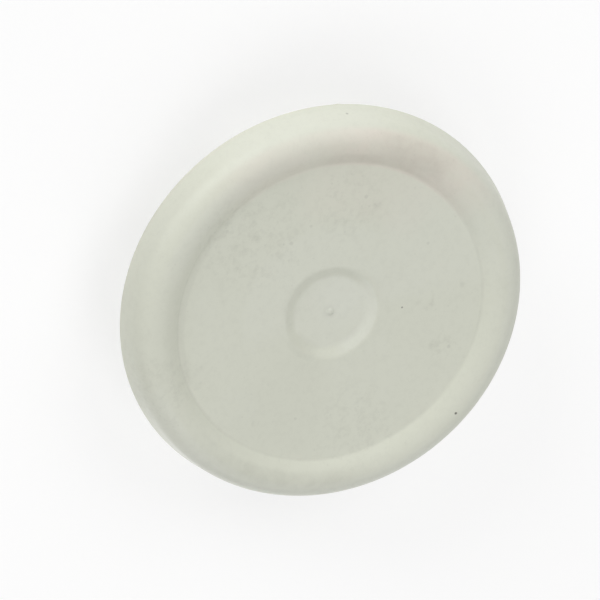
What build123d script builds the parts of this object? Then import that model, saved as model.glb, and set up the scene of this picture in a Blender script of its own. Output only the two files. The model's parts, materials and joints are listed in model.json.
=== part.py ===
from build123d import *
import math
import os

# Snap-in hole plug: one moulding in off-white plastic that closes a round hole
# in a sheet panel. A broad rounded rim laps over the edge of the hole, the face
# inside it is recessed and flat with a shallow dimple at its centre, and a
# slotted ring of barbed fingers under the face snaps behind the panel.
#
# Frame: +Z points out of the visible face, Z = 0 is the panel's front surface,
# on which the foot of the rim sits, and the Z axis is the axis of the hole.

# ---- Driving dimensions, in millimetres and degrees -------------------------

# The panel that the plug is made for
hole_diameter = 38.0
panel_thickness = 3.0       # thickest panel that the barbs reach behind
hole_clearance = 0.2        # radial gap between the skirt and the hole

# The moulding's walls
wall = 1.6                  # face, rim and side of the head
finger_wall = 1.4           # skirt and fingers

# The head
face_height = 4.25          # recessed face, above the panel
face_margin = 0.15          # how far the face reaches past the edge of the hole
rim_width = 5.85            # from the edge of the face to the foot of the side
rim_rise = 0.85             # crest of the rim, above the face
shoulder_inside = 1.05      # bend from crest to side, inside the wall
side_draft = 12.0           # lean of the rim's side from vertical
groove_slope = 33.0         # slope of the groove's inner side under the crown
groove_chamfer = 0.6        # in the groove's outer corner, under the shoulder

# The dimple at the centre of the face, and the stub left by the mould's gate
dimple_diameter = 11.7      # at the face
dimple_floor_diameter = 9.3
dimple_depth = 0.45
gate_diameter = 1.0
gate_height = 0.12

# The ring of snap fingers
finger_count = 12
slot_width = 2.0
slot_root = 1.0             # top of the slots, above the panel's front surface
barb_reach = 0.9            # how far a barb stands out from the skirt
catch_angle = 45.0          # slope of the face that pulls up behind the panel
skirt_depth = 7.5           # finger tips, below the panel's front surface
tip_land = 0.8              # flat at the end of a finger
root_chamfer = 0.4          # where the skirt meets the back of the face

# ---- Sizes that follow from them --------------------------------------------

hole_radius = hole_diameter / 2
skirt_radius = hole_radius - hole_clearance
skirt_bore = skirt_radius - finger_wall
barb_radius = skirt_radius + barb_reach
catch_foot = -panel_thickness - barb_reach * math.tan(math.radians(catch_angle))

face_radius = hole_radius + face_margin
head_radius = face_radius + rim_width
face_back = face_height - wall
dimple_floor = face_height - dimple_depth
dimple_radius = dimple_diameter / 2
dimple_floor_radius = dimple_floor_diameter / 2

# The side leans in by its draft from the foot of the rim until it runs tangent
# into the shoulder, whose centre is straight below the crest.
crest_height = face_height + rim_rise
shoulder_radius = shoulder_inside + wall
shoulder_centre = crest_height - shoulder_radius
draft = math.radians(side_draft)
side_top = shoulder_centre + shoulder_radius * math.sin(draft)
crest_radius = head_radius - shoulder_radius * math.cos(draft) - side_top * math.tan(draft)

# The back follows the front at the wall's thickness, in straight cuts. A line
# that turns up by an angle has its parallel turn further out by this shift.
dimple_slope = math.atan2(dimple_depth, dimple_radius - dimple_floor_radius)
dimple_shift = wall * math.tan(dimple_slope / 2)
groove_shift = wall * math.tan(math.radians(groove_slope) / 2)
groove_top = crest_height - wall
groove_run = rim_rise / math.tan(math.radians(groove_slope))
side_inside = head_radius - wall / math.cos(draft)

# ---- The cutter for one slot between two fingers ----------------------------

# It has a round root, passes through the skirt and its barbs in a radial
# direction and runs out below the tips.
slot_start = skirt_bore - finger_wall
slot_length = barb_radius + finger_wall - slot_start
slot_centre = slot_root - slot_width / 2

with BuildPart() as slot_cutter:
    with BuildSketch(Plane.YZ.offset(slot_start)):
        with Locations((0, slot_centre)):
            Circle(slot_width / 2)
            Rectangle(slot_width, slot_centre + skirt_depth + wall, align=(Align.CENTER, Align.MAX))
    extrude(amount=slot_length)

# ---- The plug ----------------------------------------------------------------

with BuildPart() as hole_plug:
    with BuildSketch(Plane.XZ) as section:
        # The outside of the head, filled in down to the panel
        with BuildLine():
            Polyline(
                (0, 0),
                (0, dimple_floor),
                (dimple_floor_radius, dimple_floor),
                (dimple_radius, face_height),
                (face_radius, face_height),
            )
            Bezier(
                (face_radius, face_height),
                ((face_radius + crest_radius) / 2, crest_height),
                (crest_radius, crest_height),
            )
            shoulder = JernArc((crest_radius, crest_height), (1, 0), shoulder_radius, side_draft - 90)
            Polyline(shoulder @ 1, (head_radius, 0), (0, 0))
        make_face()
        # Its back: behind the dimple, behind the face, and the groove in the rim
        with BuildLine():
            Polyline(
                (0, 0),
                (0, dimple_floor - wall),
                (dimple_floor_radius + dimple_shift, dimple_floor - wall),
                (dimple_radius + dimple_shift, face_back),
                (face_radius + groove_shift, face_back),
                (face_radius + groove_shift + groove_run, groove_top),
                (side_inside - groove_top * math.tan(draft), groove_top),
                (side_inside, 0),
                close=True,
            )
        make_face(mode=Mode.SUBTRACT)
        groove_corner = (side_inside - groove_top * math.tan(draft), groove_top)
        chamfer(section.vertices().sort_by_distance(groove_corner)[0], groove_chamfer)
        # The skirt, ending in the profile of a barb
        with BuildLine():
            Polyline(
                (skirt_bore - root_chamfer, face_back + wall / 2),
                (skirt_bore - root_chamfer, face_back),
                (skirt_bore, face_back - root_chamfer),
                (skirt_bore, -skirt_depth),
                (skirt_bore + tip_land, -skirt_depth),
                (barb_radius, catch_foot),
                (skirt_radius, -panel_thickness),
                (skirt_radius, face_back - root_chamfer),
                (skirt_radius + root_chamfer, face_back),
                (skirt_radius + root_chamfer, face_back + wall / 2),
                close=True,
            )
        make_face()
        # The gate stub, in the middle of the dimple
        with Locations((0, dimple_floor)):
            Rectangle(gate_diameter / 2, gate_height, align=(Align.MIN, Align.MIN))
    revolve(axis=Axis.Z)
    with PolarLocations(0, finger_count):
        add(slot_cutter.part, mode=Mode.SUBTRACT)

hole_plug.part.label = "hole_plug"

os.makedirs("parts", exist_ok=True)
export_step(hole_plug.part, "parts/hole_plug.step")
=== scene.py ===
"""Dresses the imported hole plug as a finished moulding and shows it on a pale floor.

The plug is one moulding in off-white plastic: a head with a broad rounded rim, a
recessed face with a shallow dimple, and a slotted ring of barbed fingers under it.
Its surface is worked out here as grids of points in the plug's own frame: Z is the
axis of the hole that it closes, and Z = 0 is the front of the panel.
"""

import json
import math

import bmesh
import bpy
import numpy as np
from bpy.props import FloatProperty, FloatVectorProperty, IntProperty, PointerProperty
from mathutils import Matrix, Vector


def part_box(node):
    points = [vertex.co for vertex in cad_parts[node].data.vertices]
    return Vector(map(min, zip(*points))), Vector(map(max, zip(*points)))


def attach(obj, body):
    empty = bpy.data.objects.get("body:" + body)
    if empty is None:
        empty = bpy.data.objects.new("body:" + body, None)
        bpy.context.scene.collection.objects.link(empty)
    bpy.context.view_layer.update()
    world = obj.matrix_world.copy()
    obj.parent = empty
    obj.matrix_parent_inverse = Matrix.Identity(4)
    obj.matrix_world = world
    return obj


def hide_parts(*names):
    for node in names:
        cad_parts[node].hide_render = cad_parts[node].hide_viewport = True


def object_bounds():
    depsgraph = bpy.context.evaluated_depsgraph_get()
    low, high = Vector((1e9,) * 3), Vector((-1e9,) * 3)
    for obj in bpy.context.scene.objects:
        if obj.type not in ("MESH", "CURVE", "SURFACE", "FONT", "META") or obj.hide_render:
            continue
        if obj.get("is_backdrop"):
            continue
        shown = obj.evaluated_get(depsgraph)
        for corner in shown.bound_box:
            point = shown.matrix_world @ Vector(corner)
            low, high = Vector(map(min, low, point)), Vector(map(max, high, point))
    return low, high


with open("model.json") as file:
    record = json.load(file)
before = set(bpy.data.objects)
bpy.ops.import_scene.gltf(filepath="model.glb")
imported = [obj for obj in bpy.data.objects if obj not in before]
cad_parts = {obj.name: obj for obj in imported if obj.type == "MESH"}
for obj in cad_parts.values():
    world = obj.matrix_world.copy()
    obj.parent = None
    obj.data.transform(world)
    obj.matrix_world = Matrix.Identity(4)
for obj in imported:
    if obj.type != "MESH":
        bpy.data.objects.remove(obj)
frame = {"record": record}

bl_info = {
    "name": "Hole plug",
    "version": (1, 0, 0),
    "blender": (4, 5, 0),
    "location": "View3D > Sidebar > Hole plug",
    "description": "Makes a snap-in hole plug as a finished moulding, and a stage to show it on",
    "category": "Object",
}

MM = 0.001
BODY = "root"
NODE = "hole_plug"

WELD = 2e-4 * MM        # points of two grids this close are one point
REPEATED = 1e-4 * MM    # a point of a path this close to the one before is left out
SHARP = 32              # degrees from which a bend is shaded as an edge

LOWEST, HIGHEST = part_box(NODE)
HOLE = next(mount for mount in frame["record"]["mounts"] if mount["name"] == "panel_hole")["dims"]
CAD_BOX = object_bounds()


# ---- Sizes and settings ------------------------------------------------------


def length(name, description, default):
    """A size in metres."""
    return FloatProperty(name=name, description=description, default=default, min=0.0,
                         subtype="DISTANCE", unit="LENGTH", precision=5)


def angle(name, description, degrees):
    """An angle, stated in degrees and kept in radians."""
    return FloatProperty(name=name, description=description, default=math.radians(degrees),
                         subtype="ANGLE", unit="ROTATION")


def share(name, description, default):
    """A number from 0 to 1."""
    return FloatProperty(name=name, description=description, default=default, min=0.0, max=1.0,
                         subtype="FACTOR")


def strength(name, description, default):
    """How much light something gives: for a lamp, in watts per square metre."""
    return FloatProperty(name=name, description=description, default=default, min=0.0)


def colour(name, description, default):
    """A linear colour."""
    return FloatVectorProperty(name=name, description=description, default=default, size=3,
                               min=0.0, max=1.0, subtype="COLOR")


class HeadSizes(bpy.types.PropertyGroup):
    """The head of the plug, above the panel."""

    head_radius: length("Head radius", "Outside radius at the foot of the rim", HIGHEST.x)
    crest_height: length("Crest height", "Top of the rim above the panel", HIGHEST.z)
    wall: length("Wall", "Thickness of the face, the rim and the side", 1.6 * MM)
    rim_rise: length("Rim rise", "Crest of the rim above the recessed face", 0.85 * MM)
    face_margin: length("Face margin", "How far the face reaches past the hole's edge", 0.15 * MM)
    foot_run: length("Foot run", "Half the width of the bend from the face into the rim", 0.24 * MM)
    shoulder_radius: length("Shoulder radius", "Bend from the crest into the side", 2.65 * MM)
    side_draft: angle("Side draft", "Lean of the side from vertical", 12.0)
    foot_round: length("Foot round", "Rounding of the side's lower edge", 0.3 * MM)
    groove_slope: angle("Groove slope", "Slope of the groove's inner side under the crown", 33.0)
    groove_round: length("Groove round", "Rounding of the bends under the head", 0.8 * MM)
    dimple_diameter: length("Dimple diameter", "Diameter of the dimple at the face", 11.7 * MM)
    dimple_floor_diameter: length("Dimple floor", "Diameter of the dimple's flat floor", 9.3 * MM)
    dimple_depth: length("Dimple depth", "Depth of the dimple below the face", 0.45 * MM)
    dimple_lip_round: length("Dimple lip round", "Rounding of the dimple's upper bend", 1.8 * MM)
    dimple_foot_round: length("Dimple foot round", "Rounding of the dimple's lower bend", 2.0 * MM)
    gate_diameter: length("Gate diameter", "Diameter of the stub left by the gate", 1.0 * MM)
    gate_height: length("Gate height", "Height of that stub", 0.12 * MM)
    gate_top: length("Gate top", "Diameter of the stub's flat top", 0.4 * MM)
    gate_round: length("Gate round", "Rounding of the stub's edges", 0.4 * MM)
    flash_height: length("Flash height", "How far the fleck of flash stands out", 0.13 * MM)
    flash_width: length("Flash width", "Half the width of the fleck of flash", 0.32 * MM)
    flash_azimuth: angle("Flash azimuth", "Where the fleck of flash is round the side", -130.0)


class FingerSizes(bpy.types.PropertyGroup):
    """The ring of snap fingers behind the panel."""

    finger_count: IntProperty(name="Fingers", description="Number of snap fingers", default=12, min=3)
    hole_radius: length("Hole radius", "Radius of the hole that the plug closes", HOLE["r_mm"] * MM)
    panel: length("Panel", "Thickest panel that the barbs reach behind", HOLE["length_mm"] * MM)
    clearance: length("Clearance", "Gap between the skirt and the hole", 0.2 * MM)
    finger_wall: length("Finger wall", "Thickness of the skirt and the fingers", 1.4 * MM)
    barb_reach: length("Barb reach", "How far a barb stands out from the skirt", 0.9 * MM)
    barb_round: length("Barb round", "Rounding of the barb's edge and the finger's tip", 0.2 * MM)
    catch_slope: angle("Catch slope", "Slope of the face that pulls up behind the panel", 45.0)
    tip_land: length("Tip land", "Flat at the end of a finger", 0.8 * MM)
    skirt_depth: length("Skirt depth", "Finger tips below the panel's front", -LOWEST.z)
    slot_width: length("Slot width", "Gap between two fingers", 2.0 * MM)
    slot_root: length("Slot root", "Top of the slots above the panel's front", 1.0 * MM)
    edge_round: length("Edge round", "Rounding of the fingers' sides and the slots' roots", 0.15 * MM)
    root_round: length("Root round", "Fillet between the skirt and the back of the face", 0.55 * MM)


class PlasticLook(bpy.types.PropertyGroup):
    """The colours and the finish of the plastic, and the colours of its painted light and shade."""

    base: colour("Base", "Clean plastic", (0.610, 0.623, 0.532))
    # Colour of the grime and of the painted shade in and beside the crease
    grime_and_painted_shade: colour("Grime", "What is rubbed into the surface", (0.330, 0.330, 0.285))
    # Colour of the chalky bloom and of the painted light
    bloom_and_painted_light: colour("Bloom", "Paler, chalky patches", (0.665, 0.678, 0.610))
    # Colour of the painted warm reflection on the rim
    warm: colour("Warm", "A faint pinkish stain", (0.720, 0.585, 0.530))
    speck: colour("Speck", "Dark specks of foreign matter", (0.045, 0.042, 0.036))
    roughness: share("Roughness", "Roughness of clean plastic", 0.5)


class StageLook(bpy.types.PropertyGroup):
    """The lamps, the floor and the camera."""

    key: strength("Key", "Broad low light from the camera's side", 1.69)
    fill: strength("Fill", "Broad light from above and the other sides", 0.80)
    bounce: strength("Bounce", "Light from below the floor's level, which the floor lets by", 1.05)
    world: strength("World", "Light from all round", 0.215)
    floor_tone: share("Floor tone", "How much light the floor returns", 0.8)
    floor_shown: share("Floor shown", "How much of the floor's own shading is seen", 0.42)
    floor_white: strength("Floor white", "White that is seen for the rest of it", 1.16)
    tilt: angle("Tilt", "How far the camera leans from straight above", 31.2)
    roll: angle("Roll", "How far the camera is turned about its own line of sight", 140.2)
    distance: length("Distance", "From the camera to the face", 0.625)
    reach: FloatProperty(name="Reach", description="Focal length over sensor width", default=8.83)


# ---- Outlines in the (radius, height) half plane ------------------------------


def straight(start, end, steps=8):
    """Points from start to end, spaced by half a cosine wave.

    They crowd towards both ends, so the smooth shading of the bends there
    doesn't spread into the flat between them.
    """
    along = (1 - np.cos(np.pi * np.arange(steps + 1) / steps)) / 2
    return start + along[:, None] * (np.asarray(end) - start)


def arc(centre, radius, start, end, steps=6):
    """Points on a circle about centre, from angle start to angle end in equal turns."""
    turn = np.linspace(start, end, steps + 1)
    return np.asarray(centre) + radius * np.column_stack((np.cos(turn), np.sin(turn)))


def bend(start, corner, end, steps=6):
    """A quadratic Bezier: (1-t)^2 start + 2 t (1-t) corner + t^2 end."""
    t = np.linspace(0, 1, steps + 1)[:, None]
    start, corner, end = map(np.asarray, (start, corner, end))
    return (1 - t) ** 2 * start + 2 * t * (1 - t) * corner + t**2 * end


def join(*pieces):
    """The pieces end to end, without the points that repeat the one before."""
    path = np.concatenate(pieces)
    moved = np.linalg.norm(np.diff(path, axis=0), axis=1) > REPEATED
    return path[np.concatenate(([True], moved))]


def rounded(*corners, run_steps=8, arc_steps=6):
    """A path through corners (radius, height, rounding).

    At a corner that turns by an angle, the sides are cut back by the rounding
    times the tangent of half that angle, and an arc of that radius joins them.
    """
    corners = np.array(corners, float)
    points = corners[:, :2]
    run = np.diff(points, axis=0)
    run /= np.linalg.norm(run, axis=1)[:, None]
    heading = np.arctan2(run[:, 1], run[:, 0])
    turn = (np.diff(heading) + np.pi) % (2 * np.pi) - np.pi
    pieces = []
    start = points[0]
    for place, radius, before, after, facing, by in zip(
        points[1:-1], corners[1:-1, 2], run[:-1], run[1:], heading[:-1], turn
    ):
        cut = radius * math.tan(abs(by) / 2)
        side = math.copysign(1.0, by)
        centre = place - cut * before + side * radius * np.array((-before[1], before[0]))
        from_angle = facing - side * np.pi / 2
        pieces.append(straight(start, place - cut * before, run_steps))
        pieces.append(arc(centre, radius, from_angle, from_angle + by, arc_steps))
        start = place + cut * after
    pieces.append(straight(start, points[-1], run_steps))
    return join(*pieces)


class Section:
    """The plug's outline as (radius, height), worked out from its sizes."""

    def __init__(self, head, fingers):
        self.head = head
        self.fingers = fingers
        self.face_radius = fingers.hole_radius + head.face_margin
        self.face_height = head.crest_height - head.rim_rise
        self.dimple_floor = self.face_height - head.dimple_depth
        self.skirt_radius = fingers.hole_radius - fingers.clearance
        self.skirt_bore = self.skirt_radius - fingers.finger_wall
        self.slot_half = fingers.slot_width / 2
        self.slot_centre = fingers.slot_root - self.slot_half
        self.face_back = self.face_height - head.wall
        # The collar starts clear below the fillet at the skirt's root
        self.collar_top = self.face_back - 1.5 * fingers.root_round

    def top(self):
        """From the axis over the gate's stub, the dimple, the face, the crown and the shoulder."""
        head = self.head
        gate = head.gate_diameter / 2
        inner = head.dimple_floor_diameter / 2
        outer = head.dimple_diameter / 2
        flat = rounded(
            (0, self.dimple_floor + head.gate_height, 0),
            (head.gate_top / 2, self.dimple_floor + head.gate_height, head.gate_round),
            (gate, self.dimple_floor, head.gate_round),
            (inner, self.dimple_floor, head.dimple_foot_round),
            (outer, self.face_height, head.dimple_lip_round),
            (self.face_radius - head.foot_run, self.face_height, 0),
            run_steps=12,
        )
        shoulder_height = head.crest_height - head.shoulder_radius
        side_top = shoulder_height + head.shoulder_radius * math.sin(head.side_draft)
        crest_radius = (
            head.head_radius
            - head.shoulder_radius * math.cos(head.side_draft)
            - side_top * math.tan(head.side_draft)
        )
        crown = self.crown(crest_radius)
        centre = (crest_radius, shoulder_height)
        shoulder = arc(centre, head.shoulder_radius, np.pi / 2, head.side_draft, steps=20)
        return join(flat, crown, shoulder)

    def crown(self, crest_radius, steps=19):
        """The crown is a parabola, rise (1 - (1 - s)^2), with s from 0 at the face to 1 at the crest.

        A bend runs into its foot. Its corner is where the parabola's tangent at
        the first s meets the face: run s^2 / (2 (1 - s)) behind the parabola's start.
        """
        head = self.head
        run = crest_radius - self.face_radius
        first = head.foot_run / run
        s = np.linspace(first, 1, steps + 1)
        curve = np.column_stack((
            self.face_radius + run * s,
            self.face_height + head.rim_rise * (1 - (1 - s) ** 2),
        ))
        corner = self.face_radius - run * first**2 / (2 * (1 - first))
        start = (self.face_radius - head.foot_run, self.face_height)
        return join(bend(start, (corner, self.face_height), curve[0]), curve)

    def underside(self):
        """From the shoulder down the side, round its foot, through the groove and to the skirt."""
        head = self.head
        lean = math.tan(head.side_draft)
        side_inside = head.head_radius - head.wall / math.cos(head.side_draft)
        groove_top = head.crest_height - head.wall
        groove_shift = head.wall * math.tan(head.groove_slope / 2)
        groove_run = head.rim_rise / math.tan(head.groove_slope)
        return rounded(
            (*self.top()[-1], 0),
            (head.head_radius, 0, head.foot_round),
            (side_inside, 0, head.foot_round / 2),
            (side_inside - groove_top * lean, groove_top, head.groove_round),
            (self.face_radius + groove_shift + groove_run, groove_top, head.groove_round),
            (self.face_radius + groove_shift, self.face_back, head.groove_round),
            (self.skirt_radius, self.face_back, self.fingers.root_round),
            (self.skirt_radius, self.collar_top, 0),
            run_steps=6,
        )

    def back(self):
        """From the skirt's bore under the face and behind the dimple to the axis."""
        head = self.head
        inner = head.dimple_floor_diameter / 2
        outer = head.dimple_diameter / 2
        slope = math.atan2(head.dimple_depth, outer - inner)
        shift = head.wall * math.tan(slope / 2)
        return rounded(
            (self.skirt_bore, self.collar_top, 0),
            (self.skirt_bore, self.face_back, self.fingers.root_round),
            (outer + shift, self.face_back, head.dimple_foot_round),
            (inner + shift, self.dimple_floor - head.wall, head.dimple_lip_round),
            (0, self.dimple_floor - head.wall, 0),
        )

    def finger(self):
        """From the slot's centre height down the skirt, over the barb and the tip, and up the bore."""
        fingers = self.fingers
        barb_radius = self.skirt_radius + fingers.barb_reach
        catch_foot = -fingers.panel - fingers.barb_reach * math.tan(fingers.catch_slope)
        return rounded(
            (self.skirt_radius, self.slot_centre, 0),
            (self.skirt_radius, -fingers.panel, fingers.barb_round),
            (barb_radius, catch_foot, fingers.barb_round),
            (self.skirt_bore + fingers.tip_land, -fingers.skirt_depth, fingers.barb_round),
            (self.skirt_bore, -fingers.skirt_depth, fingers.barb_round),
            (self.skirt_bore, self.slot_centre, 0),
            run_steps=6,
            arc_steps=4,
        )


# ---- The moulding's surface ---------------------------------------------------


class Columns:
    """Where each column of the grid lies round the axis.

    A slot's sides are parallel, so its columns keep a distance from the slot's
    middle plane: their angle is the arc sine of distance over radius. Across a
    finger the columns share out the angle between its two edges. Inside the
    skirt's bore all angles stay as they are at the bore.
    """

    def __init__(self, section, slot_steps=8, finger_steps=16):
        self.section = section
        self.count = section.fingers.finger_count
        self.pitch = 2 * np.pi / self.count
        self.opening = section.slot_half + section.fingers.edge_round
        self.slot_side = -self.opening * np.cos(np.linspace(0, np.pi, slot_steps + 1))
        self.finger_share = np.linspace(0, 1, finger_steps + 1)

    def slot_angle(self, radius, side):
        """The angle from a slot's middle plane of points at that distance to its side."""
        return np.arcsin(side / np.maximum(radius, self.section.skirt_bore))

    def finger_angle(self, radius, across):
        """The angle, from the slot before, of points that share out a finger between its edges."""
        return self.pitch * across + (1 - 2 * across) * self.slot_angle(radius, self.opening)

    def angles(self, radius):
        """The angles of all columns, once round: each slot's, then its finger's."""
        radius = np.asarray(radius)[:, None]
        slot = self.slot_angle(radius, self.slot_side[None, :-1])
        finger = self.finger_angle(radius, self.finger_share[None, :-1])
        one = np.concatenate((slot, finger), axis=1)
        turns = self.pitch * np.arange(self.count)
        return (turns[None, :, None] + one[:, None, :]).reshape(len(radius), -1)

    def root_side(self, radius):
        """Distances of a slot's columns from its middle plane, on a round root of that radius."""
        return self.slot_side * radius / self.opening

    def root_height(self, radius):
        """Heights of that root at the columns: its centre + sqrt(radius^2 - distance^2)."""
        rise = np.sqrt(np.maximum(radius**2 - self.root_side(radius) ** 2, 0))
        return self.section.slot_centre + rise


def turned(radius, angle, height):
    """Points at radius and angle round Z and at height, as an array of rows and columns."""
    radius, angle, height = np.broadcast_arrays(radius, angle, height)
    return np.stack((radius * np.cos(angle), radius * np.sin(angle), height), axis=-1)


def revolved(path, columns):
    """The path (radius, height) carried round the axis."""
    return turned(path[:, :1], columns.angles(path[:, 0]), path[:, 1:])


def collar(radius, columns, steps=5):
    """A wall of the skirt, from its top down to the fingers and the slots' round roots.

    Height is shared out evenly between the collar's top and its lower edge,
    which is the slot's root over a slot and the slot's centre over a finger.
    """
    section = columns.section
    over_slot = columns.root_height(columns.opening)[:-1]
    over_finger = np.full(len(columns.finger_share) - 1, section.slot_centre)
    edge = np.tile(np.concatenate((over_slot, over_finger)), columns.count)
    down = np.linspace(0, 1, steps + 1)[:, None]
    height = section.collar_top * (1 - down) + edge * down
    return turned(radius, columns.angles([radius] * (steps + 1)), height)


def quarter_round(radius, steps=4):
    """How far in a rounded edge has come from the outer face, and how far it is from the side face."""
    turn = np.linspace(0, np.pi / 2, steps + 1)
    return radius * (1 - np.cos(turn)), radius * (1 - np.sin(turn))


def slot_root(columns):
    """The round root of a slot, across the skirt's wall, with both its edges rounded."""
    section = columns.section
    inward, aside = quarter_round(section.fingers.edge_round)
    radius = np.concatenate((section.skirt_radius - inward, (section.skirt_bore + inward)[::-1]))
    radius = radius[:, None]
    arch = section.slot_half + np.concatenate((aside, aside[::-1]))[:, None]
    angle = columns.slot_angle(radius, columns.root_side(arch))
    return turned(radius, angle, columns.root_height(arch))


def inward_normals(path):
    """Unit normals of a path in the half plane, averaged at each point.

    They point to the right of its direction, which for a finger is into the plastic.
    """
    run = np.diff(path, axis=0)
    run /= np.linalg.norm(run, axis=1)[:, None]
    along = np.vstack((run[:1], run[:-1] + run[1:], run[-1:]))
    along /= np.linalg.norm(along, axis=1)[:, None]
    return np.column_stack((along[:, 1], -along[:, 0]))


def finger_skin(columns):
    """The finger's outside, barb, tip and bore, and the rounding of its two long edges.

    The first and last columns roll over the edges: there the outline shrinks
    along its normals by 1 - cos while it nears the flat flank by 1 - sin.
    """
    section = columns.section
    path = section.finger()
    normals = inward_normals(path)
    inward, aside = quarter_round(section.fingers.edge_round)
    across = columns.finger_angle(path[:, :1], columns.finger_share)
    middle = turned(path[:, :1], across, path[:, 1:])
    edges = []
    for shrink, distance in zip(inward[1:], aside[1:]):
        radius, height = (path + shrink * normals).T
        angle = columns.slot_angle(radius, section.slot_half + distance)
        edges.append((turned(radius, angle, height), turned(radius, columns.pitch - angle, height)))
    near = [before for before, after in reversed(edges)]
    far = [after for before, after in edges]
    return np.concatenate((np.stack(near, 1), middle, np.stack(far, 1)), axis=1)


def about_axis(points, turn):
    """The points turned about Z."""
    cosine, sine = math.cos(turn), math.sin(turn)
    x, y, z = np.moveaxis(points, -1, 0)
    return np.stack((x * cosine - y * sine, x * sine + y * cosine, z), axis=-1)


def grid_faces(rows, columns, closed):
    """The corner numbers of a grid's quads. If closed, its last column is joined to its first."""
    row = np.arange(rows - 1)[:, None] * columns
    column = np.arange(columns if closed else columns - 1)
    beside = (column + 1) % columns
    below = row + columns
    quads = np.stack((row + column, below + column, below + beside, row + beside), axis=-1)
    return quads.reshape(-1, 4)


class Skin:
    """Collects grids of points and single flat faces for one mesh."""

    def __init__(self):
        self.points = []
        self.faces = []
        self.size = 0

    def add_grid(self, grid, closed=False):
        """Adds an array of points in rows and columns, closed if it goes once round the axis."""
        rows, columns = grid.shape[:2]
        self.faces += (grid_faces(rows, columns, closed) + self.size).tolist()
        self.points.append(grid.reshape(-1, 3))
        self.size += rows * columns

    def add_face(self, loop):
        """Adds one face with those corners."""
        self.faces.append(list(range(self.size, self.size + len(loop))))
        self.points.append(loop)
        self.size += len(loop)


def moulding(head, fingers):
    """The whole surface of the plug: grids that meet edge to edge."""
    section = Section(head, fingers)
    columns = Columns(section)
    skin = Skin()
    skin.add_grid(revolved(join(section.top(), section.underside()), columns), closed=True)
    skin.add_grid(collar(section.skirt_radius, columns), closed=True)
    skin.add_grid(collar(section.skirt_bore, columns)[::-1], closed=True)
    skin.add_grid(revolved(section.back(), columns), closed=True)
    root = slot_root(columns)
    finger = finger_skin(columns)
    for turn in columns.pitch * np.arange(columns.count):
        skin.add_grid(about_axis(root, turn))
        skin.add_grid(about_axis(finger, turn))
        skin.add_face(about_axis(finger[:, 0], turn))
        skin.add_face(about_axis(finger[::-1, -1], turn))
    points = np.concatenate(skin.points)
    return points + flash(points, head), skin.faces


def flash(points, head):
    """How far each point moves for a fleck of flash on the side's lower edge.

    It stands out by a bell curve round the side and up it. A smooth step in the
    middle of the side's wall keeps it from the groove behind.
    """
    x, y, z = points.T
    radius = np.hypot(x, y)
    around = (np.arctan2(y, x) - head.flash_azimuth + np.pi) % (2 * np.pi) - np.pi
    wall_middle = head.head_radius - head.wall / 2
    step = 0.1 * head.wall
    on_side = 1 / (1 + np.exp((wall_middle - radius) / step))
    bell = np.exp(-((head.head_radius * around) ** 2 + z**2) / head.flash_width**2)
    out = head.flash_height * bell * on_side / np.maximum(radius, MM)
    return np.column_stack((x * out, y * out, np.zeros_like(z)))


def closed_mesh(name, points, faces):
    """A mesh with its seams welded and its faces outward.

    It is smooth across gentle bends. The fingers' flanks, single faces with
    many corners, stay flat.
    """
    mesh = bpy.data.meshes.new(name)
    mesh.from_pydata(points.tolist(), [], faces)
    work = bmesh.new()
    work.from_mesh(mesh)
    bmesh.ops.remove_doubles(work, verts=work.verts, dist=WELD)
    bmesh.ops.recalc_face_normals(work, faces=work.faces)
    open_edges = sum(not edge.is_manifold for edge in work.edges)
    if open_edges:
        raise RuntimeError(f"{name} isn't closed: {open_edges} of its edges don't have two faces")
    if work.calc_volume(signed=True) < 0:
        bmesh.ops.reverse_faces(work, faces=work.faces)
    for face in work.faces:
        face.smooth = len(face.verts) <= 4
    work.to_mesh(mesh)
    work.free()
    mesh.set_sharp_from_angle(angle=math.radians(SHARP))
    return mesh


# ---- Shader maths ---------------------------------------------------------------


class Number:
    """A socket that carries a number. Arithmetic on it adds Math nodes."""

    def __init__(self, tree, socket):
        self.tree = tree
        self.socket = socket

    def maths(self, operation, *values):
        """The result of a Math node on those values."""
        node = self.tree.add("ShaderNodeMath", {"operation": operation}, dict(enumerate(values)))
        return Number(self.tree, node.outputs[0])

    def __add__(self, other):
        return self.maths("ADD", self, other)

    def __radd__(self, other):
        return self.maths("ADD", other, self)

    def __rsub__(self, other):
        return self.maths("SUBTRACT", other, self)

    def __mul__(self, other):
        return self.maths("MULTIPLY", self, other)

    def __rmul__(self, other):
        return self.maths("MULTIPLY", other, self)

    def __truediv__(self, other):
        return self.maths("DIVIDE", self, other)

    def root(self):
        """The square root."""
        return self.maths("SQRT", self)

    def or_more(self, other):
        """The larger of the two."""
        return self.maths("MAXIMUM", self, other)

    def ramp(self, low, high):
        """0 up to low and 1 from high on, with a smooth step between. It falls if high is below low."""
        settings = {"interpolation_type": "SMOOTHSTEP"}
        values = {"Value": self, "From Min": low, "From Max": high}
        return Number(self.tree, self.tree.add("ShaderNodeMapRange", settings, values).outputs[0])


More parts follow.
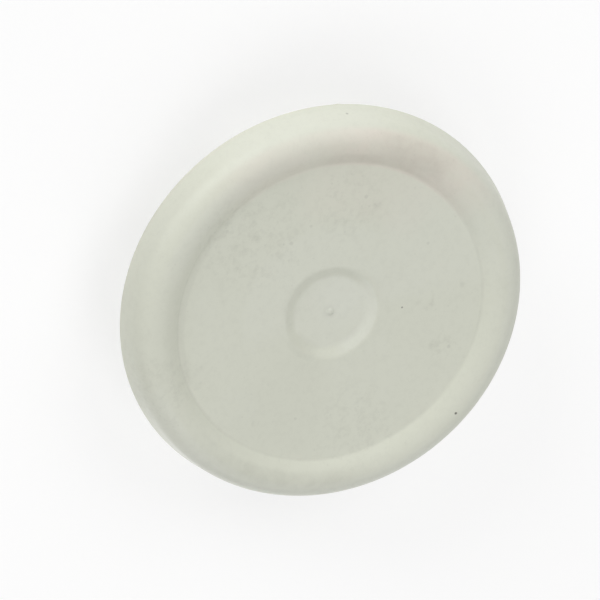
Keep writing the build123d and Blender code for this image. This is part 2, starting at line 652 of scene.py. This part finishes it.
class Tree:
    """The node tree of a material or a world."""

    # A Mix node's sockets for two colours, and for the colour that it gives
    COLOUR_A, COLOUR_B, COLOUR_RESULT = 6, 7, 2

    def __init__(self, owner):
        owner.use_nodes = True
        self.nodes = owner.node_tree.nodes
        self.links = owner.node_tree.links
        self.nodes.clear()

    def add(self, kind, settings=None, values=None):
        """A node of that type: its settings first, then what its sockets hold or are linked to."""
        node = self.nodes.new(kind)
        for name, value in (settings or {}).items():
            setattr(node, name, value)
        for name, value in (values or {}).items():
            socket = node.inputs[name]
            if isinstance(value, Number):
                self.links.new(value.socket, socket)
            elif isinstance(value, bpy.types.NodeSocket):
                self.links.new(value, socket)
            else:
                socket.default_value = value
        return node

    def mix(self, factor, first, second):
        """The first colour where factor is 0 and the second where it is 1."""
        values = {0: factor, self.COLOUR_A: first, self.COLOUR_B: second}
        node = self.add("ShaderNodeMix", {"data_type": "RGBA"}, values)
        return node.outputs[self.COLOUR_RESULT]

    def noise(self, position, size, detail=3.0, roughness=0.5, distortion=0.0):
        """Noise, from 0 to 1, whose features are about size across."""
        values = {
            "Vector": position,
            "Scale": 1 / size,
            "Detail": detail,
            "Roughness": roughness,
            "Distortion": distortion,
        }
        return Number(self, self.add("ShaderNodeTexNoise", None, values).outputs["Fac"])


def opaque(rgb):
    """A colour with full alpha."""
    return (*rgb, 1.0)


WHITE = opaque((1, 1, 1))


# ---- The plastic ----------------------------------------------------------------

# The tables are in millimetres and degrees. A place on the plug is its radius and
# azimuth about the axis and, where it isn't on the face, its height above the face.

# Dark specks: the place of each, its own radius and how dark it is
SPECKS = (
    (21.83, 100.0, 0.84, 0.20, 0.85),
    (8.90, 140.5, 0.0, 0.15, 0.60),
    (24.52, -131.5, -2.0, 0.20, 0.35),
    (16.3, 120.2, 0.0, 0.28, 0.12),
    (14.1, 175.5, 0.0, 0.26, 0.10),
    (11.0, -98.3, 0.0, 0.30, 0.12),
    (11.9, -113.0, 0.0, 0.22, 0.10),
    (15.0, -142.0, 0.0, 0.30, 0.12),
    (18.0, -79.5, 0.0, 0.26, 0.10),
    (13.9, 35.5, 0.0, 0.24, 0.09),
)

# Soft smudges on the face: place, size and strength
SMUDGES = (
    (12.4, 141.0, 0.65, 0.10),
    (16.2, 18.0, 0.50, 0.10),
    (14.1, -67.0, 0.55, 0.07),
    (14.4, -85.0, 0.60, 0.07),
    (17.6, -13.0, 0.45, 0.08),
    (14.2, 118.8, 0.60, 0.08),
    (14.5, -149.0, 0.60, 0.08),
    (16.5, 149.0, 0.45, 0.08),
    (13.7, -50.0, 0.50, 0.07),
    (11.3, -119.5, 0.40, 0.06),
    (11.0, -60.0, 0.45, 0.06),
    (10.5, 66.5, 0.50, 0.06),
)

# Patches where handling has worked grime into the plastic: place, how far each is full
# and where it has faded, and its strength
PATCHES = (
    (14.8, -84.0, 3.5, 8.5, 1.0),
    (14.0, -135.0, 2.0, 6.0, 0.9),
    (11.9, 142.7, 0.6, 2.0, 1.0),
    (15.6, 119.8, 0.8, 2.2, 1.0),
    (15.5, 67.0, 2.0, 7.0, 0.8),
    (22.2, -18.0, 2.0, 6.5, 0.8),
)

# The other tables hold arcs of rings. A row gives the ring's inner and outer radius and
# the length in which it fades, then the arc's azimuth, half its angle and the angle in
# which it fades, and last its strength.

# Paler arcs: chalky bloom, and painted light on the dimple's wall, the crown's crest and the shoulder
CHALK_AND_PAINTED_LIGHT = (
    # Painted light on the far side of the dimple's wall, which faces the key lamp
    (4.2, 5.6, 0.3, 127, 46, 25, 0.42),         # the dimple's wall
    (6.5, 10.0, 2.5, -95, 60, 30, 0.20),        # beside the dimple
    (7.0, 20.5, 1.5, 176, 16, 18, 0.20),        # the face
    # Painted highlight on the crown's crest, on the side towards the key lamp
    (20.7, 22.2, 0.7, -88, 20, 18, 0.22),       # the crown
    # Painted light from below on the shoulder at azimuths 38, 48 and 150, and a paler arc at -118
    (22.4, 30.0, 0.8, 150, 25, 35, 0.32),       # the shoulder, from here on
    (22.4, 30.0, 0.8, -118, 14, 16, 0.26),
    (22.4, 30.0, 0.8, 38, 45, 20, 0.32),
    (22.9, 30.0, 0.5, 48, 40, 18, 0.55),
)

# The painted warm reflection, pinkish
WARM_REFLECTION = (
    (19.2, 23.2, 0.8, -150, 6, 34, 1.0),        # the rim
    (19.2, 23.2, 0.8, -122, 12, 32, 0.52),
    (14.0, 19.0, 3.0, -142, 18, 20, 0.25),      # the edge of the face
)

# Grime that was rubbed on in smears
# Darker arcs, uneven as in smears: grime, and a darker arc on the crown
SMEARED = (
    # A darker arc on the crown at azimuth 34
    (20.9, 22.0, 0.8, 34, 12, 26, 0.11),
    (20.4, 23.0, 0.7, -154, 4, 12, 0.12),
    (19.5, 20.2, 0.6, -142, 10, 14, 0.10),
    (22.0, 24.3, 0.8, -45, 22, 22, 0.03),
)

# Grime that lies evenly
EVEN_GRIME_AND_SHADE = (
    (4.4, 6.3, 0.5, 14, 8, 18, 0.075),          # the dimple's edge
    (8.0, 18.5, 3.5, 25, 4, 26, 0.03),          # the face
    # Painted shade beside the crease
    (18.5, 18.95, 0.4, -52, 25, 18, 0.09),      # Arcs that lie evenly: grime, and painted shade beside the crease
)


def largest(masks):
    """The largest of some masks."""
    first, *others = masks
    for other in others:
        first = first.or_more(other)
    return first


class Surface:
    """What the plastic's looks are worked out from: noise, and masks by place, all from 0 to 1.

    Masks take lengths in millimetres and angles in degrees.
    """

    def __init__(self, tree, face_height):
        self.tree = tree
        self.face_height = face_height
        self.position = tree.add("ShaderNodeTexCoord").outputs["Object"]
        parts = tree.add("ShaderNodeSeparateXYZ", None, {"Vector": self.position}).outputs
        self.x, self.y, height = (Number(tree, part) for part in parts)
        self.radius = (self.x * self.x + self.y * self.y).root().or_more(0.01 * MM)
        # The head, above the panel: where dirt, chalk, and the painted light and shade lie
        self.front = height.ramp(0, 2 * MM)
        self.broad = tree.noise(self.position, 9.0 * MM, detail=2.0)
        self.smear = tree.noise(self.position, 2.6 * MM, roughness=0.6, distortion=0.4)
        self.mottle = tree.noise(self.position, 0.9 * MM, roughness=0.6)
        self.fine = tree.noise(self.position, 0.4 * MM, detail=2.0, roughness=0.65)
        self.grain = tree.noise(self.position, 0.2 * MM, detail=2.0)

    def ring(self, low, high, soft):
        """1 where the radius is from low to high, falling to 0 over the soft length beyond each."""
        rises = self.radius.ramp((low - soft) * MM, low * MM)
        return rises * self.radius.ramp((high + soft) * MM, high * MM)

    def sector(self, azimuth, half, soft):
        """1 within half an angle of an azimuth, falling to 0 over the soft angle beyond."""
        turn = math.radians(azimuth)
        facing = (self.x * math.cos(turn) + self.y * math.sin(turn)) / self.radius
        return facing.ramp(math.cos(math.radians(half + soft)), math.cos(math.radians(half)))

    def arcs(self, rows):
        """The largest of the arcs of rings that a table lists, each times its strength."""
        return largest(
            self.ring(low, high, soft) * self.sector(azimuth, half, fade) * strength
            for low, high, soft, azimuth, half, fade, strength in rows
        )

    def spot(self, radius, azimuth, rise, full, fade):
        """1 up to the full distance from a place, falling to 0 at the fade distance."""
        turn = math.radians(azimuth)
        centre = (
            radius * MM * math.cos(turn),
            radius * MM * math.sin(turn),
            self.face_height + rise * MM,
        )
        values = {0: self.position, 1: centre}
        node = self.tree.add("ShaderNodeVectorMath", {"operation": "DISTANCE"}, values)
        return Number(self.tree, node.outputs["Value"]).ramp(fade * MM, full * MM)

    def pinpricks(self, spacing, size, lot):
        """Tiny dots of that size in Voronoi cells: a lot of 0.7 gives 70 % of the cells a dot."""
        values = {"Vector": self.position, "Scale": 1 / (spacing * MM)}
        cells = self.tree.add("ShaderNodeTexVoronoi", None, values).outputs
        shade = self.tree.add("ShaderNodeSeparateColor", None, {"Color": cells["Color"]}).outputs[0]
        picked = Number(self.tree, shade).ramp(1 - lot, 1)
        share_of_cell = size / spacing
        near = Number(self.tree, cells["Distance"]).ramp(share_of_cell, 0.3 * share_of_cell)
        return near * picked


def chalk_and_painted_light(surface, dimple_depth):
    """Chalky patches over the dimple's floor, in arcs and faintly here and there, and arcs of painted
    light on the dimple's wall, the crest and the shoulder.
    """
    one_side = surface.spot(2.5, -160, -dimple_depth / MM, full=1.0, fade=5.5)
    dimple_floor = surface.ring(0, 4.4, soft=0.5) * (0.21 + 0.27 * one_side)
    here_and_there = surface.broad.ramp(0.50, 0.80) * 0.10
    return largest((here_and_there, dimple_floor, surface.arcs(CHALK_AND_PAINTED_LIGHT))) * surface.front


def painted_warm_reflection(surface):
    """A painted warm reflection, pinkish, on the rim, which reaches a little way into the face."""
    uneven = 0.75 + 0.25 * surface.smear.ramp(0.35, 0.65)
    return surface.arcs(WARM_REFLECTION) * uneven * surface.front * 0.33


def grime_and_painted_shade(surface, patches):
    """Grime and painted shade: grime in arcs, in smudges and worked in everywhere, and painted shade in
    the crease at the rim's foot and beside it.

    Two sectors of the crease have no painted shade, and broad dim areas underlie it all.
    """
    # Painted shade in the crease at the rim's foot, left out on two sectors
    crease_shade = surface.ring(19.0, 19.15, soft=0.2) * 0.085
    for clean in (surface.sector(-125, 18, 20), surface.sector(88, 20, 20)):
        crease_shade = crease_shade * (1 - clean)
    smeared = surface.arcs(SMEARED) * (0.55 + 0.9 * surface.smear.ramp(0.3, 0.7))
    haze_and_crease_shade = largest((smeared, surface.arcs(EVEN_GRIME_AND_SHADE), crease_shade))
    speckle = (surface.fine * 0.42 + surface.mottle * 0.58).ramp(0.44, 0.66)
    worked_in = (0.70 + 1.10 * patches) * speckle * 0.078
    blotches = (0.3 + patches) * surface.smear.ramp(0.50, 0.72) * 0.035
    smudges = largest(
        surface.spot(radius, azimuth, 0, 0.2 * size, 1.4 * size) * strength
        for radius, azimuth, size, strength in SMUDGES
    )
    smudges = smudges * (0.45 + 1.1 * surface.mottle.ramp(0.40, 0.60))
    dim = surface.broad.ramp(0.45, 0.30) * 0.02
    return haze_and_crease_shade * surface.front + worked_in + blotches + smudges + dim


def specks(surface, patches):
    """Dark specks: the listed ones, a faint spot at the gate, and pinpricks, most in the patches."""
    listed = largest(
        surface.spot(radius, azimuth, rise, 0.45 * size, 1.1 * size) * darkness
        for radius, azimuth, rise, size, darkness in SPECKS
    )
    gate = surface.spot(0.15, -45, -0.40, full=0.4, fade=1.15) * 0.065
    clusters = (0.38 + 0.75 * patches) * surface.smear.ramp(0.42, 0.60)
    prickles = surface.pinpricks(spacing=0.8, size=0.19, lot=0.7) * (0.02 + 0.09 * clusters)
    return largest((listed, prickles, gate))


def plastic_material(look, head):
    """Off-white moulded plastic with a fine texture, mottled and specked by handling, with painted
    light and shade: a warm reflection on the rim, paler lit arcs, and shade in the crease.
    """
    material = bpy.data.materials.new("moulded_plastic")
    tree = Tree(material)
    surface = Surface(tree, head.crest_height - head.rim_rise)
    patches = surface.front * largest(
        surface.spot(radius, azimuth, 0, full, fade) * strength
        for radius, azimuth, full, fade, strength in PATCHES
    )
    # Grime, and painted shade in and beside the crease
    dirt_and_shade = grime_and_painted_shade(surface, patches)
    # Chalky bloom, and painted light on the dimple's wall, the crest and the shoulder
    shade = tree.mix(chalk_and_painted_light(surface, head.dimple_depth), opaque(look.base), opaque(look.bloom_and_painted_light))
    # Painted warm reflection on the rim
    shade = tree.mix(painted_warm_reflection(surface), shade, opaque(look.warm))
    shade = tree.mix(dirt_and_shade, shade, opaque(look.grime_and_painted_shade))
    shade = tree.mix(specks(surface, patches), shade, opaque(look.speck))
    height = surface.grain * 0.5 + surface.fine * 0.5
    relief = {"Strength": 0.3, "Distance": 0.02 * MM, "Height": height}
    bump = tree.add("ShaderNodeBump", None, relief)
    shader = tree.add("ShaderNodeBsdfPrincipled", None, {
        "Base Color": shade,
        "Roughness": dirt_and_shade * 1.2 + (surface.grain * 0.06 + (look.roughness - 0.03)),
        "Normal": bump.outputs["Normal"],
    })
    tree.add("ShaderNodeOutputMaterial", None, {"Surface": shader.outputs[0]})
    return material


# ---- The stage ------------------------------------------------------------------

# Each lamp: its name, the setting for its strength and its share of it, then the
# azimuth and elevation that it shines from, in degrees
LAMPS = (
    ("key", "key", 1.0, 270, 15),
    ("left", "fill", 1.0, 200, 42),
    ("low_left", "fill", 0.29, 225, 15),
    ("right", "fill", 0.81, 20, 42),
    ("back", "fill", 0.53, 80, 42),
    ("top", "fill", 0.45, 90, 75),
    ("bounce_right", "bounce", 1.0, 42, -36),
    ("bounce_left", "bounce", 0.50, 210, -8),
    ("bounce_back", "bounce", 0.25, 90, -8),
)
LAMP_WIDTH = 36     # how wide a lamp looks from the plug, in degrees
FLOOR_HALF = 1.5    # half the floor's width, in metres
SENSOR = 36         # width of the camera's sensor, in millimetres

# Where the middle of the view lies from the middle of the face, along X and down the
# plane that faces the camera, as shares of the head's radius
AIM = (0.0746, 0.1430)


def from_direction(azimuth, elevation):
    """The unit vector towards an azimuth and elevation in degrees."""
    turn, rise = math.radians(azimuth), math.radians(elevation)
    level = math.cos(rise)
    return Vector((math.cos(turn) * level, math.sin(turn) * level, math.sin(rise)))


def backdrop_rays(tree):
    """1 for rays that look at the stage: the camera's, and those that gloss or glass sends on."""
    rays = tree.add("ShaderNodeLightPath")
    seen = Number(tree, rays.outputs["Is Camera Ray"])
    for kind in ("Is Glossy Ray", "Is Transmission Ray"):
        seen = seen.or_more(Number(tree, rays.outputs[kind]))
    return seen


def floor_material(stage):
    """A pale floor. Rays that look at it see part of its own shading, and white for the rest."""
    material = bpy.data.materials.new("pale_floor")
    tree = Tree(material)
    grey = opaque([stage.floor_tone] * 3)
    diffuse = tree.add("ShaderNodeBsdfPrincipled", None, {"Base Color": grey, "Roughness": 0.9})
    glow = {"Color": WHITE, "Strength": stage.floor_white}
    white = tree.add("ShaderNodeEmission", None, glow)
    seen = backdrop_rays(tree) * (1 - stage.floor_shown)
    values = {0: seen, 1: diffuse.outputs[0], 2: white.outputs[0]}
    surface = tree.add("ShaderNodeMixShader", None, values)
    tree.add("ShaderNodeOutputMaterial", None, {"Surface": surface.outputs[0]})
    return material


def make_world(scene, light):
    """A white surround that gives only a little light of its own."""
    world = bpy.data.worlds.new("surround")
    tree = Tree(world)
    dim = tree.add("ShaderNodeBackground", None, {"Color": WHITE, "Strength": light})
    white = tree.add("ShaderNodeBackground", None, {"Color": WHITE, "Strength": 1.0})
    values = {0: backdrop_rays(tree), 1: dim.outputs[0], 2: white.outputs[0]}
    surface = tree.add("ShaderNodeMixShader", None, values)
    tree.add("ShaderNodeOutputWorld", None, {"Surface": surface.outputs[0]})
    scene.world = world


def make_floor(scene, stage):
    """The floor that the finger tips stand on. Light from below its level passes it."""
    mesh = bpy.data.meshes.new("floor")
    signs = ((-1, -1), (1, -1), (1, 1), (-1, 1))
    places = [(x * FLOOR_HALF, y * FLOOR_HALF, LOWEST.z) for x, y in signs]
    mesh.from_pydata(places, [], [(0, 1, 2, 3)])
    mesh.materials.append(floor_material(stage))
    floor = bpy.data.objects.new("floor", mesh)
    scene.collection.objects.link(floor)
    floor.visible_shadow = False
    floor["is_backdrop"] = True


def make_lamps(scene, stage):
    """Broad lamps, far away, all round the plug."""
    for name, setting, part, azimuth, elevation in LAMPS:
        light = bpy.data.lights.new(name, "SUN")
        light.energy = getattr(stage, setting) * part
        light.angle = math.radians(LAMP_WIDTH)
        lamp = bpy.data.objects.new(name, light)
        lamp.rotation_mode = "QUATERNION"
        lamp.rotation_quaternion = from_direction(azimuth, elevation).to_track_quat("Z", "Y")
        scene.collection.objects.link(lamp)


def make_camera(scene, stage, face_centre):
    """A long lens that leans over the plug from its -Y side and is rolled about its line of sight."""
    back = Vector((0, -math.sin(stage.tilt), math.cos(stage.tilt)))
    rise = Vector((0, math.cos(stage.tilt), math.sin(stage.tilt)))
    side = Vector((1, 0, 0))
    right = side * math.cos(stage.roll) + rise * math.sin(stage.roll)
    up = rise * math.cos(stage.roll) - side * math.sin(stage.roll)
    aside, down = AIM
    aim = face_centre + (side * aside - rise * down) * HIGHEST.x
    data = bpy.data.cameras.new("camera")
    data.sensor_width = SENSOR
    data.lens = SENSOR * stage.reach
    camera = bpy.data.objects.new("camera", data)
    camera.matrix_world = Matrix((right, up, back)).transposed().to_4x4()
    camera.location = aim + back * stage.distance
    scene.collection.objects.link(camera)
    scene.camera = camera


# ---- Operators --------------------------------------------------------------------


class HOLEPLUG_OT_moulding(bpy.types.Operator):
    """Make the whole plug as one closed moulding"""

    bl_idname = "holeplug.moulding"
    bl_label = "Plug moulding"

    def execute(self, context):
        scene = context.scene
        points, faces = moulding(scene.holeplug_head, scene.holeplug_fingers)
        mesh = closed_mesh("hole_plug_moulding", points, faces)
        mesh.materials.append(plastic_material(scene.holeplug_plastic, scene.holeplug_head))
        plug = bpy.data.objects.new("hole_plug_moulding", mesh)
        scene.collection.objects.link(plug)
        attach(plug, BODY)
        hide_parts(NODE)
        return {"FINISHED"}


class HOLEPLUG_OT_stage(bpy.types.Operator):
    """Make the floor, the surround, the lamps and the camera"""

    bl_idname = "holeplug.stage"
    bl_label = "Stage"

    def execute(self, context):
        scene = context.scene
        stage = scene.holeplug_stage
        scene.view_settings.view_transform = "Standard"
        face_centre = Vector((0, 0, HIGHEST.z - scene.holeplug_head.rim_rise))
        make_world(scene, stage.world)
        make_floor(scene, stage)
        make_lamps(scene, stage)
        make_camera(scene, stage, face_centre)
        return {"FINISHED"}


class HOLEPLUG_PT_panel(bpy.types.Panel):
    """Lists the steps that make the hole plug and its settings"""

    bl_idname = "HOLEPLUG_PT_panel"
    bl_label = "Hole plug"
    bl_space_type = "VIEW_3D"
    bl_region_type = "UI"
    bl_category = "Hole plug"

    def draw(self, context):
        for step, groups in (
            (HOLEPLUG_OT_moulding, ("holeplug_head", "holeplug_fingers", "holeplug_plastic")),
            (HOLEPLUG_OT_stage, ("holeplug_stage",)),
        ):
            box = self.layout.box()
            box.operator(step.bl_idname)
            for group in groups:
                settings = getattr(context.scene, group)
                for name in settings.__annotations__:
                    box.prop(settings, name)


SETTINGS = {
    "holeplug_head": HeadSizes,
    "holeplug_fingers": FingerSizes,
    "holeplug_plastic": PlasticLook,
    "holeplug_stage": StageLook,
}
CLASSES = (*SETTINGS.values(), HOLEPLUG_OT_moulding, HOLEPLUG_OT_stage, HOLEPLUG_PT_panel)


def register():
    """Adds the settings, the operators and the panel to Blender."""
    for entry in CLASSES:
        bpy.utils.register_class(entry)
    for name, group in SETTINGS.items():
        setattr(bpy.types.Scene, name, PointerProperty(type=group))


def unregister():
    """Takes them away again."""
    for name in SETTINGS:
        delattr(bpy.types.Scene, name)
    for entry in reversed(CLASSES):
        bpy.utils.unregister_class(entry)


def corners(bounds):
    """A box's two corners as plain lists of numbers."""
    return [list(corner) for corner in bounds]


def main():
    """Makes the plug and its stage."""
    register()
    bpy.ops.holeplug.moulding()
    bpy.ops.holeplug.stage()
    bpy.context.view_layer.update()
    {"cad": corners(CAD_BOX), "visual": corners(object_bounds())}


if __name__ == "__main__":
    main()
